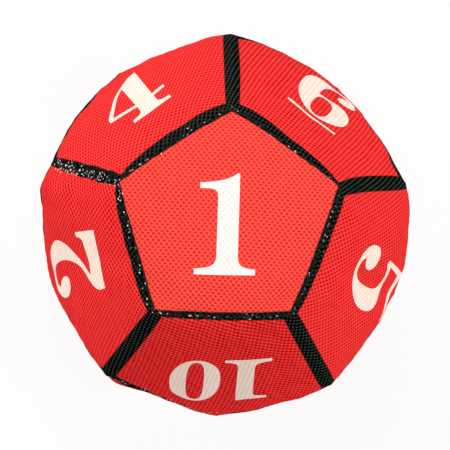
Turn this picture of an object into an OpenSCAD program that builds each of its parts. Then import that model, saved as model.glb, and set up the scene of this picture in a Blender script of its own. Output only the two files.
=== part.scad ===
// Soft twelve-sided die: a stuffed cloth dodecahedron resting on one face.
// The cover is two pentagons and two strips of five pentagons, sewn together
// with turned-in seam allowances and filled with loose fibre.

/* [Die] */
// Length of one pentagon edge, from corner to corner
edge_length = 45; // [30:1:80]
// Height of a stuffed face's middle above its flat pentagon
face_crown = 4; // [1:0.5:7]
// How far the face that the die rests on is pressed flat
rest_press = 1.2; // [0.6:0.1:2]

/* [Seams and folds] */
// Depth by which the thread draws a sewn seam in
seam_draw = 2; // [0.5:0.1:3]
// Width of the valley on each side of a sewn seam
seam_valley = 6; // [3:0.5:9]
// Depth by which an unsewn fold is rounded off
fold_round = 1.1; // [0.2:0.1:2]
// Width of the rounding on each side of an unsewn fold
fold_width = 6; // [3:0.5:9]
// Width of cloth turned in along every sewn edge
seam_allowance = 6; // [4:0.5:9]
// Space between the two allowances of one seam
seam_gap = 0.1; // [0.05:0.05:0.4]

/* [Cloth and thread] */
// Thickness of the woven cover cloth
cloth_thickness = 0.6; // [0.4:0.1:1.2]
// Diameter of the sewing thread
thread_diameter = 0.7; // [0.4:0.1:1.2]
// Space between the thread and the cloth below it
thread_clearance = 0.1; // [0.05:0.05:0.3]

/* [Stuffing] */
// Space between the stuffing and the cloth around it
stuffing_clearance = 0.3; // [0.1:0.1:1]

/* [Hidden] */

// Sizes of the flat dodecahedron that the cover is cut from
golden = (1 + sqrt(5)) / 2;
face_radius = edge_length / (2 * sin(36));
in_radius = edge_length * sqrt((25 + 11 * sqrt(5)) / 10) / 2;
corner_radius = norm([face_radius, in_radius]);
ring_radius = face_radius * golden;
ring_height = sqrt(corner_radius * corner_radius - ring_radius * ring_radius);
petal_tilt = atan(2);

// Share of the way that stuffing swells a flat face toward the corner sphere
fullness = face_crown / (corner_radius - in_radius);
rest_height = in_radius + face_crown - rest_press;

// Offsets from the plane of a seam, and depths below the outside of the cloth
seam_side = seam_gap / 2;
cloth_side = seam_side + cloth_thickness;
stuffing_side = cloth_side + stuffing_clearance;
stuffing_depth = cloth_thickness + stuffing_clearance;
thread_lift = thread_diameter / 2 + thread_clearance;

// How finely the soft pieces are divided
edge_steps = 8;
around = 5 * edge_steps;
petal_rows = [0, 0.07, 0.25, 0.55, 0.82, 0.94, 1];
last_row = len(petal_rows) - 1;
cap_rings = [0.3, 0.6, 0.82, 0.93, 1];
last_ring = len(cap_rings) - 1;
thread_sides = 4;
thread_turn = 360 / thread_sides;

// The upper strip's ends meet at this angle, and the halves turn over between
// this corner and the next one of the equator
seam_angle = 162;
turning_axis = [cos(seam_angle + 18), sin(seam_angle + 18), 0];

function unit(v) = v / norm(v);
function mix(a, b, t) = a + (b - a) * t;
function on_ring(radius, angle, height) =
    [radius * cos(angle), radius * sin(angle), height];
function turned_over(p) = 2 * turning_axis * (p * turning_axis) - p;

// Corners of the flat dodecahedron, numbered from the strip's end seam
function top_corner(k) = on_ring(face_radius, seam_angle + 72 * k, in_radius);
function upper_corner(k) = on_ring(ring_radius, seam_angle + 72 * k, ring_height);
function lower_corner(k) = on_ring(ring_radius, seam_angle + 36 + 72 * k, -ring_height);

// Face directions of the upper half
face_directions = concat(
    [[0, 0, 1]],
    [for (k = [0:4])
        on_ring(sin(petal_tilt), seam_angle + 36 + 72 * k, cos(petal_tilt))]
);

// Sewn edges and unsewn folds of the upper half, each as a pair of corners
sewn_edges = concat(
    [for (k = [0:4]) [top_corner(k), top_corner(k + 1)]],
    [for (k = [0:4]) [upper_corner(k), lower_corner(k)]],
    [for (k = [0:4]) [lower_corner(k), upper_corner(k + 1)]],
    [[top_corner(0), upper_corner(0)]]
);
fold_edges = [for (k = [1:4]) [top_corner(k), upper_corner(k)]];

// Distance from a point to the ray through a corner
function ray_distance(p, corner) =
    norm(p - unit(corner) * (p * unit(corner)));

// Distance from a point to the sector between the rays of an edge
function edge_distance(p, edge) =
    let (across = unit(cross(edge[0], edge[1])))
    let (beside = p - across * (p * across))
    cross(edge[0], beside) * across >= 0 && cross(beside, edge[1]) * across >= 0
        ? abs(p * across)
        : min(ray_distance(p, edge[0]), ray_distance(p, edge[1]));

// A valley that is deepest on its edge and runs out smoothly
function valley(distance, depth, width) =
    depth * pow(max(0, 1 - distance / width), 2);

function drawn_in(p) = max(concat(
    [for (edge = sewn_edges) valley(edge_distance(p, edge), seam_draw, seam_valley)],
    [for (edge = fold_edges) valley(edge_distance(p, edge), fold_round, fold_width)]
));

// Distance from the die's middle to the outside of the cloth
function skin_radius(direction) =
    let (flat = in_radius / max([for (f = face_directions) f * direction]))
    let (swelled = mix(flat, corner_radius, fullness))
    swelled - drawn_in(direction * swelled);

// Directions of the points on a cap: its middle, then ring after ring
cap_directions = concat([[0, 0, 1]], [
    for (ring = cap_rings, i = [0:around - 1])
        let (k = floor(i / edge_steps))
        let (side = mix(top_corner(k), top_corner(k + 1), (i % edge_steps) / edge_steps))
        unit(mix([0, 0, in_radius], side, ring))
]);
cap_radii = [for (d = cap_directions) skin_radius(d)];
function cap_index(ring, i) = 1 + ring * around + i % around;
cap_border = [for (i = [0:around - 1]) cap_index(last_ring, i)];

// Point on the flat strip's lower edge, which zigzags around the die
function zigzag(k, t) = t < 0.5
    ? mix(upper_corner(k), lower_corner(k), 2 * t)
    : mix(lower_corner(k), upper_corner(k + 1), 2 * t - 1);

// Directions of the points on a strip: row after row, from cap to zigzag
strip_directions = [
    for (row = petal_rows, i = [0:around])
        let (k = floor(i / edge_steps))
        let (t = (i % edge_steps) / edge_steps)
        unit(mix(mix(top_corner(k), top_corner(k + 1), t), zigzag(k, t), row))
];
strip_radii = [for (d = strip_directions) skin_radius(d)];
function strip_index(row, i) = row * (around + 1) + i;

// Around the strip: first end down, zigzag edge, last end up, cap edge back
strip_border = concat(
    [for (row = [0:last_row - 1]) strip_index(row, 0)],
    [for (i = [0:around - 1]) strip_index(last_row, i)],
    [for (row = [last_row:-1:1]) strip_index(row, around)],
    [for (i = [around:-1:1]) strip_index(0, i)]
);

// Triangles of one surface, counterclockwise seen from outside the die
cap_faces = concat(
    [for (i = [0:around - 1]) [0, cap_index(0, i), cap_index(0, i + 1)]],
    [for (ring = [0:last_ring - 1], i = [0:around - 1], half = [0, 1]) half == 0
        ? [cap_index(ring, i), cap_index(ring + 1, i), cap_index(ring + 1, i + 1)]
        : [cap_index(ring, i), cap_index(ring + 1, i + 1), cap_index(ring, i + 1)]]
);
strip_faces = [
    for (row = [0:last_row - 1], i = [0:around - 1], half = [0, 1]) half == 0
        ? [strip_index(row, i), strip_index(row + 1, i), strip_index(row + 1, i + 1)]
        : [strip_index(row, i), strip_index(row + 1, i + 1), strip_index(row, i + 1)]
];

function flipped(faces) = [for (f = faces) [f[2], f[1], f[0]]];
function renumbered(faces, first) = [for (f = faces) [for (i = f) i + first]];

// Two triangles for each pair of neighbours in two loops of point numbers
function band(upper, lower) = [
    for (i = [0:len(upper) - 1], half = [0, 1])
        let (j = (i + 1) % len(upper))
        half == 0
            ? [upper[j], upper[i], lower[i]]
            : [upper[j], lower[i], lower[j]]
];

// For each border point, the way that leads off both neighbouring seam planes
function border_ways(directions, border) = [
    for (i = [0:len(border) - 1])
        let (before = directions[border[(i + len(border) - 1) % len(border)]])
        let (here = directions[border[i]])
        let (after = directions[border[(i + 1) % len(border)]])
        let (first = unit(cross(before, here)), second = unit(cross(here, after)))
        (first + second) / (1 + first * second)
];

// All points of a surface at one depth, its border moved off the seam planes
function surface_points(directions, radii, border, depth, side) =
    let (ways = border_ways(directions, border))
    [for (i = [0:len(directions) - 1])
        let (place = search(i, border))
        directions[i] * (radii[i] - depth)
            + (len(place) > 0 ? ways[place[0]] * side : [0, 0, 0])];

// Points of a border loop at one depth below the outside of the cloth
function loop_points(directions, radii, border, depth, side) =
    let (ways = border_ways(directions, border))
    [for (i = [0:len(border) - 1])
        directions[border[i]] * (radii[border[i]] - depth) + ways[i] * side];

function pressed(points, height) =
    [for (p = points) [p.x, p.y, min(p.z, height)]];

// Cloth of one piece: outside, inside and the allowances turned in around it
module cloth_piece(directions, radii, faces, border, height) {
    count = len(directions);
    edge_count = len(border);
    outside = surface_points(directions, radii, border, 0, seam_side);
    inside = surface_points(directions, radii, border, cloth_thickness, cloth_side);
    outer_hem = loop_points(directions, radii, border, seam_allowance, seam_side);
    inner_hem = loop_points(directions, radii, border, seam_allowance, cloth_side);
    inner_border = [for (i = border) i + count];
    outer_loop = [for (i = [0:edge_count - 1]) 2 * count + i];
    inner_loop = [for (i = [0:edge_count - 1]) 2 * count + edge_count + i];
    polyhedron(
        concat(
            pressed(outside, height),
            pressed(inside, height - cloth_thickness),
            outer_hem,
            inner_hem
        ),
        flipped(concat(
            faces,
            renumbered(flipped(faces), count),
            band(border, outer_loop),
            band(outer_loop, inner_loop),
            band(inner_loop, inner_border)
        ))
    );
}

module cap_cloth(height) {
    cloth_piece(cap_directions, cap_radii, cap_faces, cap_border, height);
}

module strip_cloth() {
    cloth_piece(strip_directions, strip_radii, strip_faces, strip_border, corner_radius);
}

// Thread along a line of seam directions, lying in the valley of the seam
module seam_thread(directions, closed) {
    count = len(directions);
    middles = [for (d = directions) d * (skin_radius(d) + thread_lift)];
    function before(i) = closed ? (i + count - 1) % count : max(i - 1, 0);
    function after(i) = closed ? (i + 1) % count : min(i + 1, count - 1);
    function sideways(i, j) = unit(cross(directions[i], middles[j] - middles[i]));
    function corner_side(i) =
        let (from = before(i) == i ? sideways(i, after(i)) : sideways(before(i), i))
        let (to = after(i) == i ? from : sideways(i, after(i)))
        (from + to) / (1 + from * to);
    rings = [
        for (i = [0:count - 1], s = [0:thread_sides - 1])
            middles[i] + thread_diameter / 2
                * (cos(thread_turn * s) * corner_side(i) + sin(thread_turn * s) * directions[i])
    ];
    function ring(i) = [
        for (s = [0:thread_sides - 1]) (i % count) * thread_sides + s
    ];
    walls = [for (i = [0:count - (closed ? 1 : 2)]) each band(ring(i), ring(i + 1))];
    ends = closed ? [] : [
        [for (s = [0:thread_sides - 1]) s],
        [for (s = [thread_sides - 1:-1:0]) (count - 1) * thread_sides + s]
    ];
    polyhedron(rings, concat(walls, ends));
}

// Directions along the three kinds of seam in the upper half
cap_seam = [for (i = cap_border) cap_directions[i]];
end_seam = [for (row = [1:last_row - 1]) strip_directions[strip_index(row, 0)]];
equator_seam = [for (i = [0:around - 1]) strip_directions[strip_index(last_row, i)]];

// The die was turned and stuffed through the last edge of the equator
gap_start = around - edge_steps / 2;

// Places of the strip's corners and edges in its border loop
function first_end(row) = row;
function zigzag_edge(i) = last_row + i;
function last_end(row) = 2 * last_row + around - row;
function cap_edge(i) = (2 * last_row + 2 * around - i) % len(strip_border);

// Two triangles for each step between two open lines of point numbers
function floor_band(left, right) = [
    for (i = [0:len(left) - 2], half = [0, 1]) half == 0
        ? [left[i + 1], left[i], right[i]]
        : [left[i + 1], right[i], right[i + 1]]
];

// Stuffing: four surfaces below the cloth, with a channel for every seam
module fibre_fill() {
    channel_depth = seam_allowance + stuffing_clearance;
    cap = surface_points(cap_directions, cap_radii, cap_border,
        stuffing_depth, stuffing_side);
    strip = surface_points(strip_directions, strip_radii, strip_border,
        stuffing_depth, stuffing_side);
    cap_foot = loop_points(cap_directions, cap_radii, cap_border,
        channel_depth, stuffing_side);
    strip_foot = loop_points(strip_directions, strip_radii, strip_border,
        channel_depth, stuffing_side);
    half = concat(cap, strip, cap_foot, strip_foot);
    flat_half = pressed(half, rest_height - stuffing_depth);
    half_count = len(half);
    cap_count = len(cap);
    foot_count = cap_count + len(strip);
    border_count = len(strip_border);

    // Point numbers in the upper half, or with half_count added in the lower
    function cap_feet(other) = [for (i = [0:around]) foot_count + other + i % around];
    function strip_feet(other) = [
        for (i = [0:border_count - 1]) foot_count + around + other + i
    ];
    function half_faces(other) =
        let (inner = cap_feet(other), outer = strip_feet(other))
        let (first = [for (row = [0:last_row]) outer[first_end(row)]])
        let (last = [for (row = [0:last_row]) outer[last_end(row)]])
        concat(
            renumbered(cap_faces, other),
            renumbered(strip_faces, cap_count + other),
            band([for (i = cap_border) i + other], [for (i = [0:around - 1]) inner[i]]),
            band([for (i = strip_border) i + cap_count + other], outer),
            floor_band(inner, [for (i = [0:around]) outer[cap_edge(i)]]),
            floor_band(first, last),
            [[first[0], inner[0], last[0]]]
        );

    // The lower half runs the other way round the equator
    upper = [for (i = [0:around]) strip_feet(0)[zigzag_edge(i)]];
    lower = [for (i = [0:around]) strip_feet(half_count)[zigzag_edge(i)]];
    half_edge = edge_steps / 2;
    function facing(i) = (half_edge - 1 - i + around) % around;
    equator_faces = concat(
        [for (i = [0:around - 1]) each floor_band(
            [upper[i], upper[i + 1]], [lower[facing(i) + 1], lower[facing(i)]])],
        [[lower[half_edge], upper[0], upper[around]]],
        [[upper[half_edge], lower[0], lower[around]]]
    );
    polyhedron(
        concat(half, [for (p = flat_half) turned_over(p)]),
        flipped(concat(half_faces(0), half_faces(half_count), equator_faces))
    );
}

module top_panel() {
    color("Crimson") cap_cloth(corner_radius);
}

module upper_strip() {
    color("Crimson") strip_cloth();
}

module lower_strip() {
    color("Crimson") rotate(180, turning_axis) strip_cloth();
}

module bottom_panel() {
    color("Crimson") rotate(180, turning_axis) cap_cloth(rest_height);
}

module top_panel_thread() {
    color("Black") seam_thread(cap_seam, true);
}

module upper_strip_thread() {
    color("Black") seam_thread(end_seam, false);
}

module equator_thread() {
    color("Black") seam_thread([for (i = [0:gap_start]) equator_seam[i]], false);
}

module gap_closing_thread() {
    color("DimGray")
        seam_thread([for (i = [gap_start + 1:around - 1]) equator_seam[i]], false);
}

module lower_strip_thread() {
    color("Black") rotate(180, turning_axis) seam_thread(end_seam, false);
}

module bottom_panel_thread() {
    color("Black") rotate(180, turning_axis) seam_thread(cap_seam, true);
}

module stuffing() {
    color("WhiteSmoke") fibre_fill();
}

translate([0, 0, rest_height]) {
    top_panel();
    upper_strip();
    lower_strip();
    bottom_panel();
    top_panel_thread();
    upper_strip_thread();
    equator_thread();
    gap_closing_thread();
    lower_strip_thread();
    bottom_panel_thread();
    stuffing();
}
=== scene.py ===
# %% [markdown]
# # A soft twelve-sided die
# The object is a stuffed cloth dodecahedron: red woven cloth with printed black
# bands along the edges, white serif numerals, and sewn seams. The measured solids
# come first. They fix every size and place, and each cloth piece below takes the
# place of one of them.

# %% Load the measured model
from math import atan, cos, pi, radians, sin, sqrt, tan, tau

import bpy
import numpy as np
from mathutils import Matrix, Vector


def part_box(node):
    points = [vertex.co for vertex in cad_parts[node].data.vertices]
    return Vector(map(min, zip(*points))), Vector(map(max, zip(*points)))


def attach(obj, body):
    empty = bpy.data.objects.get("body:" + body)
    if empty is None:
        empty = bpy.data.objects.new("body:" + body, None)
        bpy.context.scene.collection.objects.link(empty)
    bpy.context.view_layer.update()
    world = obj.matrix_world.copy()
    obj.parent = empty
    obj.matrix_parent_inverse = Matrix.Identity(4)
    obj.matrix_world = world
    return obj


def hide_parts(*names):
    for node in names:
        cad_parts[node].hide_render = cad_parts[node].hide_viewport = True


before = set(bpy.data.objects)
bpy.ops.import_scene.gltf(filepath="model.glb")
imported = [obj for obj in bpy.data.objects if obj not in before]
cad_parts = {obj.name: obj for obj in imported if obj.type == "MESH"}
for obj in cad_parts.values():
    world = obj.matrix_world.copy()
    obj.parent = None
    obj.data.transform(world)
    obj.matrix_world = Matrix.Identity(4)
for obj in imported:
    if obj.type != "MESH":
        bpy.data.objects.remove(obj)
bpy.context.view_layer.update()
scene = bpy.context.scene
print("solids:", sorted(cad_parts))

# %% [markdown]
# The flat pentagon gives all other sizes of a dodecahedron. The middle of the die
# lies below the top of the upper face by the flat height and the swell of a face.

# %% Sizes of the die, in metres
EDGE = 0.045
FACE_CROWN = 0.004
FACE_RADIUS = EDGE / (2 * sin(radians(36)))
APOTHEM = FACE_RADIUS * cos(radians(36))
FACE_AREA = 5 * APOTHEM * EDGE / 2
IN_RADIUS = EDGE * sqrt((25 + 11 * sqrt(5)) / 10) / 2
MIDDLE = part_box("top_panel")[1].z - IN_RADIUS - FACE_CROWN
print(f"pentagon area {FACE_AREA * 1e4:.1f} cm2, middle {MIDDLE * 1000:.1f} mm up")

# %% [markdown]
# The photo looks almost straight down on the face with the 1, from far away. A long
# lens does the same here. The camera stands a little to the left and to the front, and
# it is turned a little, because the photo's die is.

# %% Camera
VIEW_DISTANCE = 5.0
VIEW_SCALE = 0.0003160
VIEW_LEAN = (-1.0, -1.55)
VIEW_TURN = -1.8
VIEW_CENTRE = (-0.6, 0.2)
PHOTO_SIDE = 450
SENSOR = 36

bpy.ops.object.camera_add()
camera = bpy.context.object
camera.name = "photo_camera"
back = Vector([tan(radians(lean)) for lean in VIEW_LEAN] + [1]).normalized()
right = (Vector((1, 0, 0)) - back * back.x).normalized()
facing = Matrix((right, back.cross(right), back)).transposed().to_4x4()
roll = Matrix.Rotation(radians(-VIEW_TURN), 4, "Z")
place = Vector((0, 0, MIDDLE)) + back * VIEW_DISTANCE
camera.matrix_world = Matrix.Translation(place) @ facing @ roll
camera.data.sensor_width = SENSOR
camera.data.lens = SENSOR * (VIEW_DISTANCE - IN_RADIUS) / (PHOTO_SIDE * VIEW_SCALE)
camera.data.shift_x, camera.data.shift_y = (v / PHOTO_SIDE for v in VIEW_CENTRE)
camera.data.clip_end = 4 * VIEW_DISTANCE
scene.camera = camera
print(f"lens {camera.data.lens:.0f} mm")

# %% [markdown]
# The cover is cut as two single pentagons and two strips of five pentagons. Inside a
# strip the cloth is only folded, so its weave runs on through the printed black band.
# Each row below is one pentagon: its number, its cloth piece, its place in the strip
# and the direction that it faces. The lower half is the upper one turned over, and
# opposite faces add up to thirteen.

# %% The twelve faces
TILT = atan(2)
TURN_OVER = Matrix.Rotation(pi, 4, "X")
CAP_PLACE = Matrix.Translation((0, 0, IN_RADIUS))
STRIP_AZIMUTHS = (198, 270, 342, 54, 126)
UPPER_NUMBERS = (2, 10, 5, 6, 4)
LOWER_NUMBERS = (8, 3, 11, 9, 7)
FOLD_WAY, FOLD_TURN = 198, 36


def petal_place(azimuth):
    turn = Matrix.Rotation(radians(azimuth), 4, "Z")
    lean = Matrix.Rotation(TILT, 4, "Y")
    foot_to_cap = Matrix.Rotation(radians(-90), 4, "Z")
    return turn @ lean @ foot_to_cap @ CAP_PLACE


class Face:
    """One pentagon of the cover: where it is in space and in the flat cut."""

    def __init__(self, number, panel, step, place):
        self.number, self.panel, self.step = number, panel, step
        self.place = Matrix.Translation((0, 0, MIDDLE)) @ place
        turn = radians(FOLD_TURN * max(step, 0))
        c, s = cos(turn), sin(turn)
        self.to_cloth, self.to_face = np.array([[c, s], [-s, c]]), np.array([[c, -s], [s, c]])
        self.shift = Vector((0, 0))
        for before in range(max(step, 0)):
            way = radians(FOLD_WAY + FOLD_TURN * before)
            self.shift += 2 * APOTHEM * Vector((cos(way), sin(way)))
        ends = {1: step == 0, 4: step == 4}
        self.sewn = [step < 0 or ends.get(side, True) for side in range(5)]

    def cloth(self, points):
        """Places on the flat cut for points on the face."""
        return points @ self.to_cloth + np.array(self.shift)

    def face_points(self, cloth):
        """Points on the face for places on the flat cut."""
        return (cloth - np.array(self.shift)) @ self.to_face


faces = [Face(1, "top_panel", -1, CAP_PLACE)]
faces += [Face(n, "upper_strip", i, petal_place(a))
          for i, (n, a) in enumerate(zip(UPPER_NUMBERS, STRIP_AZIMUTHS))]
faces += [Face(12, "bottom_panel", -1, TURN_OVER @ CAP_PLACE)]
faces += [Face(n, "lower_strip", i, TURN_OVER @ petal_place(a))
          for i, (n, a) in enumerate(zip(LOWER_NUMBERS, STRIP_AZIMUTHS))]
print("faces:", [(face.number, face.panel) for face in faces])

# %% [markdown]
# A side of a pentagon is known by the direction of its normal in the flat face. Side 0
# lies along the cap, sides 1 and 4 are the folds, and sides 2 and 3 make the zigzag
# around the die.

# %% Sides of a face
SIDE_NORMALS = np.radians([270, 342, 54, 126, 198])


def side_distance(points, side):
    """How far points on a face are from one of its sides, and how far along it."""
    c, s = cos(SIDE_NORMALS[side]), sin(SIDE_NORMALS[side])
    across = APOTHEM - points @ np.array([c, s])
    along = points @ np.array([-s, c])
    return across, along


# %% [markdown]
# ## Cutting the cloth
# A five-sided circle is the pentagon. Its sides are halved and its middle is joined to
# the halves, which leaves five four-sided kites. Kites divide into an even grid, and an
# even grid swells without the creases that a fan of triangles would get.

# %% One pentagon of cloth
GRID = 12
TOUCH = 1e-5


def only(piece):
    bpy.ops.object.select_all(action="DESELECT")
    piece.select_set(True)
    bpy.context.view_layer.objects.active = piece
    return piece


def edit(select=None):
    bpy.ops.object.mode_set(mode="EDIT")
    if select:
        bpy.ops.mesh.select_all(action=select)


def done():
    bpy.ops.object.mode_set(mode="OBJECT")


def cut_pentagon():
    bpy.ops.mesh.primitive_circle_add(vertices=5, radius=FACE_RADIUS, fill_type="NGON")
    piece = bpy.context.object
    edit("SELECT")
    bpy.ops.mesh.subdivide(number_cuts=1)
    bpy.ops.mesh.poke()
    bpy.ops.mesh.select_mode(type="EDGE")
    bpy.ops.mesh.select_all(action="DESELECT")
    done()
    for line in piece.data.edges:
        near, far = sorted(piece.data.vertices[i].co.length for i in line.vertices)
        line.select = near < TOUCH and far > FACE_RADIUS - TOUCH
    edit()
    bpy.ops.mesh.dissolve_edges(use_verts=False)
    bpy.ops.mesh.select_all(action="SELECT")
    bpy.ops.mesh.subdivide(number_cuts=GRID - 1)
    bpy.ops.mesh.select_mode(type="VERT")
    done()
    return piece


sample = cut_pentagon()
print(len(sample.data.polygons), "squares on a face")
bpy.data.objects.remove(sample)

# %% [markdown]
# Every pentagon remembers its number and its place on the flat cut, as a UV map in
# metres. All of them are then set in their places on the die, joined, and welded along
# their sides, which is the sewing.

# %% Twelve pentagons sewn into a cover
def flat_uv(piece, face):
    mesh = piece.data
    uv = mesh.uv_layers.new(name="cloth")
    points = np.array([mesh.vertices[loop.vertex_index].co.xy for loop in mesh.loops])
    uv.data.foreach_set("uv", face.cloth(points).astype(np.float32).ravel())


def number_faces(piece, face):
    mark = piece.data.attributes.new("face_number", "INT", "FACE")
    mark.data.foreach_set("value", [face.number] * len(piece.data.polygons))


def join(pieces, name):
    bpy.ops.object.select_all(action="DESELECT")
    for piece in pieces:
        piece.select_set(True)
    bpy.context.view_layer.objects.active = pieces[0]
    bpy.ops.object.transform_apply()
    bpy.ops.object.join()
    joined = bpy.context.object
    joined.name = joined.data.name = name
    return joined


pentagons = []
for face in faces:
    piece = cut_pentagon()
    flat_uv(piece, face)
    number_faces(piece, face)
    piece.matrix_world = face.place
    pentagons.append(piece)
cover = join(pentagons, "cover")
edit("SELECT")
bpy.ops.mesh.remove_doubles(threshold=TOUCH)
bpy.ops.mesh.normals_make_consistent(inside=False)
done()
print("cover:", len(cover.data.vertices), "points,", len(cover.data.polygons), "squares")

# %% [markdown]
# Numpy reads a whole mesh at once. These helpers give, for every corner of every square,
# the face it lies on and its place on that face, worked back from the flat cut.

# %% Reading places on the cloth
def read(items, name, width):
    values = np.zeros(width * len(items), np.float32)
    items.foreach_get(name, values)
    return values.reshape(-1, width).astype(float)


def read_whole(items, name):
    values = np.zeros(len(items), np.int32)
    items.foreach_get(name, values)
    return values


def face_numbers(mesh):
    return read_whole(mesh.attributes["face_number"].data, "value")


def corner_places(mesh):
    cloth = read(mesh.uv_layers["cloth"].data, "uv", 2)
    point = read_whole(mesh.loops, "vertex_index")
    number = np.repeat(face_numbers(mesh), read_whole(mesh.polygons, "loop_total"))
    place = np.zeros_like(cloth)
    for face in faces:
        mine = number == face.number
        place[mine] = face.face_points(cloth[mine])
    return point, number, place


def side_reach(mesh, folds=False):
    """For every point: how far the nearest sewn side is, and the place along that side.
    With folds, the folded sides count too."""
    point, number, place = corner_places(mesh)
    nearest = np.full(len(mesh.vertices), 1.0)
    along = np.zeros(len(mesh.vertices))
    for face in faces:
        mine = np.flatnonzero(number == face.number)
        for side in range(5):
            if not (face.sewn[side] or folds):
                continue
            across, run = side_distance(place[mine], side)
            closer = across < nearest[point[mine]]
            nearest[point[mine[closer]]] = across[closer]
            along[point[mine[closer]]] = run[closer]
    return nearest, along


def positions(mesh):
    return read(mesh.vertices, "co", 3)


def lengths(vectors):
    return np.linalg.norm(vectors, axis=1)


def set_positions(mesh, co):
    mesh.vertices.foreach_set("co", co.astype(np.float32).ravel())
    mesh.update()


# %% [markdown]
# ## Numerals
# The numerals are white print in a bold serif letter: thick stems, thin hairlines and
# round ends. Each one is drawn here as an outline of lines and curves, a thousand units
# high. M starts an outline, L is a line, C is a curve with two handles, and Z closes it.

# %% Outlines of the numerals
SIX = """
    M 612 800 C 612 922 510 1010 372 1010 C 150 1010 0 800 0 470 C 0 160 130 -15 328 -15
    C 512 -15 640 112 640 302 C 640 482 532 606 388 606 C 312 606 254 580 214 526
    C 216 800 272 964 382 964 C 440 964 480 938 492 896 C 436 884 402 850 402 796
    C 402 736 446 694 506 694 C 566 694 612 738 612 800 Z M 325 33 C 245 33 212 140 212 300
    C 212 462 250 556 325 556 C 400 556 430 462 430 296 C 430 130 400 33 325 33 Z"""
OUTLINES = {
    "0": """
    M 0 498 C 0 806 124 1012 318 1012 C 512 1012 636 806 636 498 C 636 190 512 -15 318 -15
    C 124 -15 0 190 0 498 Z M 206 498 C 206 160 232 34 318 34 C 404 34 430 160 430 498
    C 430 836 404 962 318 962 C 232 962 206 836 206 498 Z""",
    "1": """
    M 0 0 L 590 0 L 590 58 C 470 68 420 88 420 190 L 418 1000 L 392 1000
    C 330 942 200 912 38 905 L 38 850 L 120 848 C 190 846 212 826 212 760 L 212 190
    C 212 88 150 68 0 58 Z""",
    "2": """
    M 25 740 C 25 902 140 1012 310 1012 C 492 1012 614 904 614 738 C 614 592 502 492 372 392
    C 272 317 202 267 168 216 L 446 216 C 528 216 560 236 582 312 L 628 312 L 590 0 L 0 0
    L -4 70 C 0 150 66 214 140 270 C 190 308 236 350 276 398 C 360 496 402 606 402 738
    C 402 880 360 964 280 964 C 212 964 164 930 146 856 C 200 850 236 806 236 742
    C 236 676 192 630 132 630 C 70 630 25 674 25 740 Z""",
    "3": """
    M 22 764 C 22 908 132 1012 302 1012 C 472 1012 578 926 578 778 C 578 652 492 572 372 536
    C 512 506 604 416 604 276 C 604 96 472 -15 292 -15 C 116 -15 10 84 10 224
    C 10 300 60 350 130 350 C 200 350 246 302 246 240 C 246 180 210 140 156 128
    C 166 70 212 33 280 33 C 360 33 388 120 388 272 C 388 430 340 515 230 515 L 180 515
    L 180 560 L 225 560 C 330 560 370 640 370 776 C 370 906 346 964 276 964
    C 216 964 176 936 166 882 C 222 870 252 826 252 766 C 252 700 206 656 140 656
    C 72 656 22 700 22 764 Z""",
    "4": """
    M 205 0 L 672 0 L 672 58 C 572 66 540 90 540 170 L 540 262 L 690 262 L 690 318 L 540 318
    L 540 1000 L 440 1000 C 300 850 110 570 12 330 L 12 262 L 330 262 L 330 170
    C 330 90 300 66 205 58 Z M 62 318 C 120 470 212 650 318 800
    C 326 640 326 480 330 318 Z""",
    "5": """
    M 132 996 C 230 1000 340 1014 430 980 C 520 944 590 890 644 836
    C 540 860 400 872 172 862 L 126 592 C 190 622 250 638 322 638 C 504 638 608 512 608 316
    C 608 110 472 -15 282 -15 C 116 -15 15 75 15 207 C 15 282 62 327 130 327
    C 200 327 246 282 246 218 C 246 160 210 120 160 108 C 175 62 215 33 270 33
    C 360 33 394 130 394 310 C 394 490 360 582 270 582
    C 215 582 160 560 118 506 L 72 506 Z""",
    "6": SIX,
    "7": """
    M 30 1000 L 612 1000 L 612 930 C 482 700 404 480 404 190 C 404 60 372 -15 290 -15
    C 210 -15 164 45 164 130 C 164 370 370 600 524 806 L 180 806 C 112 806 86 766 72 684
    L 30 684 Z""",
    "8": """
    M 312 1012 C 482 1012 582 912 582 776 C 582 660 522 582 422 536
    C 552 480 622 396 622 266 C 622 96 490 -15 306 -15 C 120 -15 0 90 0 246
    C 0 372 76 456 196 502 C 92 552 40 640 40 756 C 40 906 152 1012 312 1012 Z M 318 966
    C 402 966 428 880 428 776 C 428 690 402 622 362 572 C 272 620 226 700 226 802
    C 226 902 262 966 318 966 Z M 300 30 C 390 30 440 100 440 190 C 440 300 360 392 250 456
    C 182 400 152 330 152 236 C 152 110 210 30 300 30 Z""",
    "9": SIX,
}
ADVANCE = {"0": 636, "1": 590, "2": 630, "3": 610, "4": 690, "5": 612, "6": 640, "7": 620,
           "8": 622, "9": 640}
print(len(OUTLINES), "outlines drawn")

# %% [markdown]
# A Bezier curve object takes such an outline point by point. The 9 is the 6 turned over.
# Two figures side by side are made narrower, and the 6 and the 9 have a line under them
# so that they can be told apart.

# %% From outline to curve
UNITS = 1000
NARROW = 0.85
FIGURE_GAP = 30
NINE_TURN = Vector((640, 996))
UNDERLINE = (-150, -104)
UNDERLINE_INSET = 20
CURVE_STEPS = 10


def read_outline(text):
    """Closed outlines, each a list of (left handle, point, right handle)."""
    outlines, words = [], text.split()
    while words:
        word = words.pop(0)
        if word == "Z":
            last, first = outline[-1], outline[0]
            if (last[1] - first[1]).length < 1:
                outline[0] = [last[0], first[1], first[2]]
                outline.pop()
            continue
        many = 3 if word == "C" else 1
        spot = [Vector((float(words.pop(0)), float(words.pop(0)))) for i in range(many)]
        if word == "M":
            outline = [[spot[0], spot[0], spot[0]]]
            outlines.append(outline)
        else:
            outline[-1][2] = spot[0] if many == 3 else outline[-1][1]
            outline.append([spot[-2] if many == 3 else spot[0], spot[-1], spot[-1]])
    return outlines


def bar(left, right, low, high):
    corners = (left, low), (right, low), (right, high), (left, high)
    return [[Vector(p)] * 3 for p in corners]


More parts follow.
